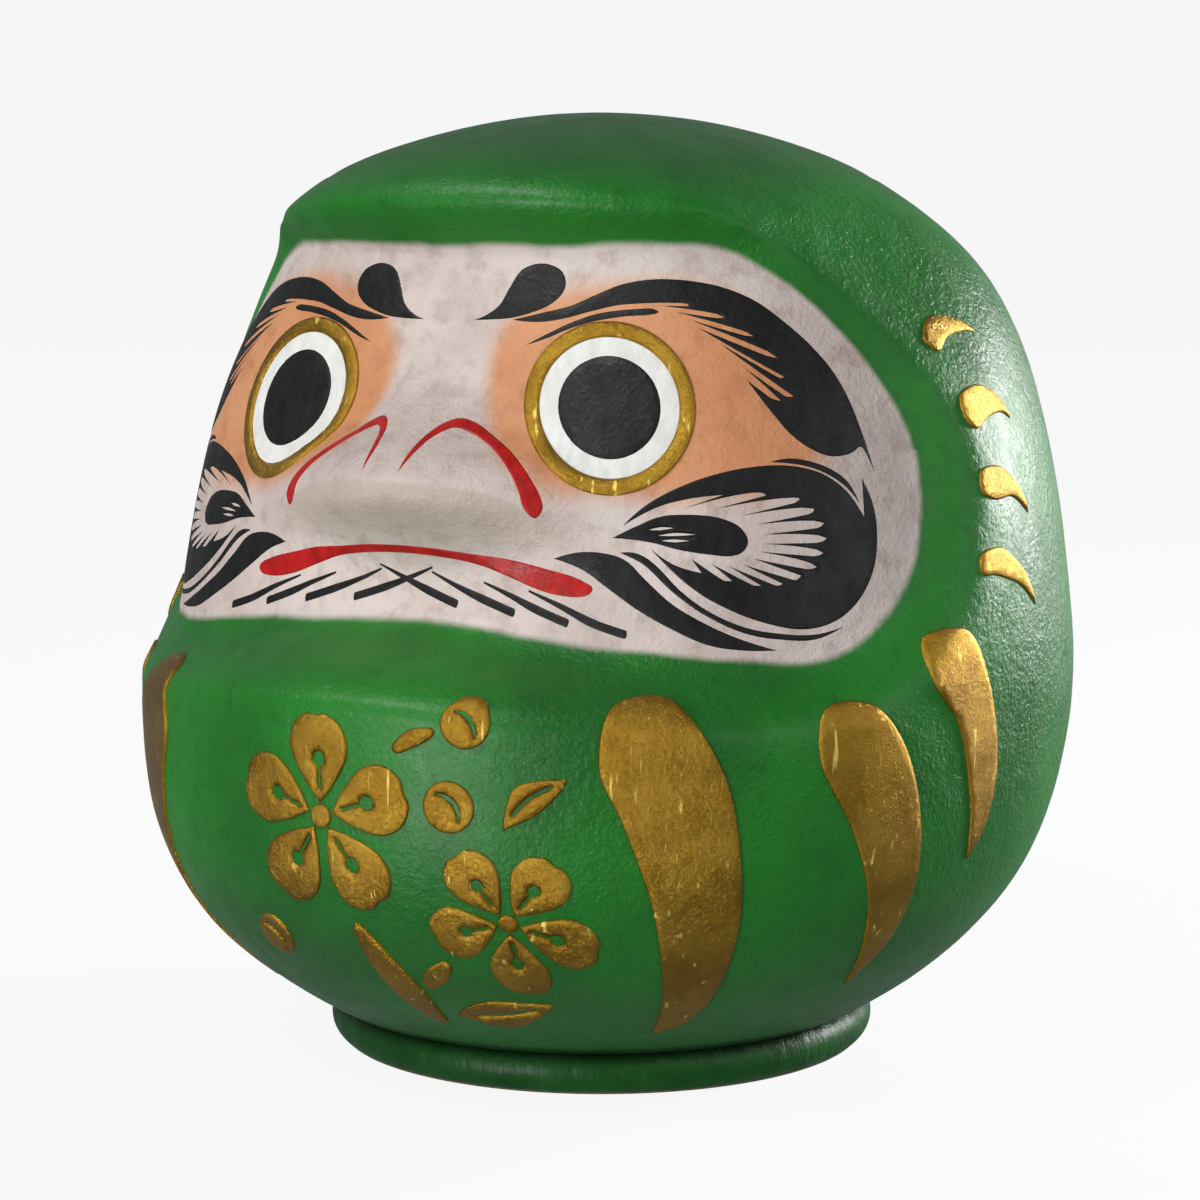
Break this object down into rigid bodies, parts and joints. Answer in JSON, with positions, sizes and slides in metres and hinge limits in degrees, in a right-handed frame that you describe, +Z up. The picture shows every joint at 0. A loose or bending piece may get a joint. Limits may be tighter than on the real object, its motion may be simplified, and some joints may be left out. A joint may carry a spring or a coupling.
{
  "type": "daruma doll",
  "caption": "Round hollow papier-mache tumbler figure with a sunk, painted face under a hood, gilded relief strokes and a weighted foot ring.",
  "frame": {"origin": "centre of the foot's flat underside, on the surface the doll rests on", "axes": "+Z up through the crown, -Y the way the face looks, +X towards the doll's left"},
  "size_m": [0.1522, 0.1526, 0.1498],
  "materials": {
    "shell_green": "satin green paint over papier-mache, white painted face",
    "foot_green": "satin green paint over pressed clay",
    "paper_sole": "plain matte paper",
    "card": "plain matte card",
    "clay": "dry unfired clay",
    "paper_strip": "pasted mulberry paper",
    "gold": "imitation gold leaf over raised gesso, crinkled and worn"
  },
  "bodies": {
    "root": {"base_disc": "card", "base_paper": "paper_sole", "blossom_large": "gold", "blossom_small": "gold", "branch_high": "gold", "branch_main": "gold", "branch_side": "gold", "bud_high": "gold", "bud_low": "gold", "bud_mid": "gold", "chest_stroke_1_left": "gold", "chest_stroke_1_right": "gold", "chest_stroke_2_left": "gold", "chest_stroke_2_right": "gold", "chest_stroke_3_left": "gold", "chest_stroke_3_right": "gold", "clay_weight": "clay", "eye_ring_left": "gold", "eye_ring_right": "gold", "foot_ring": "foot_green", "joint_strip_left": "paper_strip", "joint_strip_right": "paper_strip", "leaf_lower": "gold", "leaf_upper": "gold", "shell_back": "shell_green", "shell_front": "shell_green", "shoulder_stroke_1_left": "gold", "shoulder_stroke_1_right": "gold", "shoulder_stroke_2_left": "gold", "shoulder_stroke_2_right": "gold", "shoulder_stroke_3_left": "gold", "shoulder_stroke_3_right": "gold", "shoulder_stroke_4_left": "gold", "shoulder_stroke_4_right": "gold"}
  },
  "joints": []
}
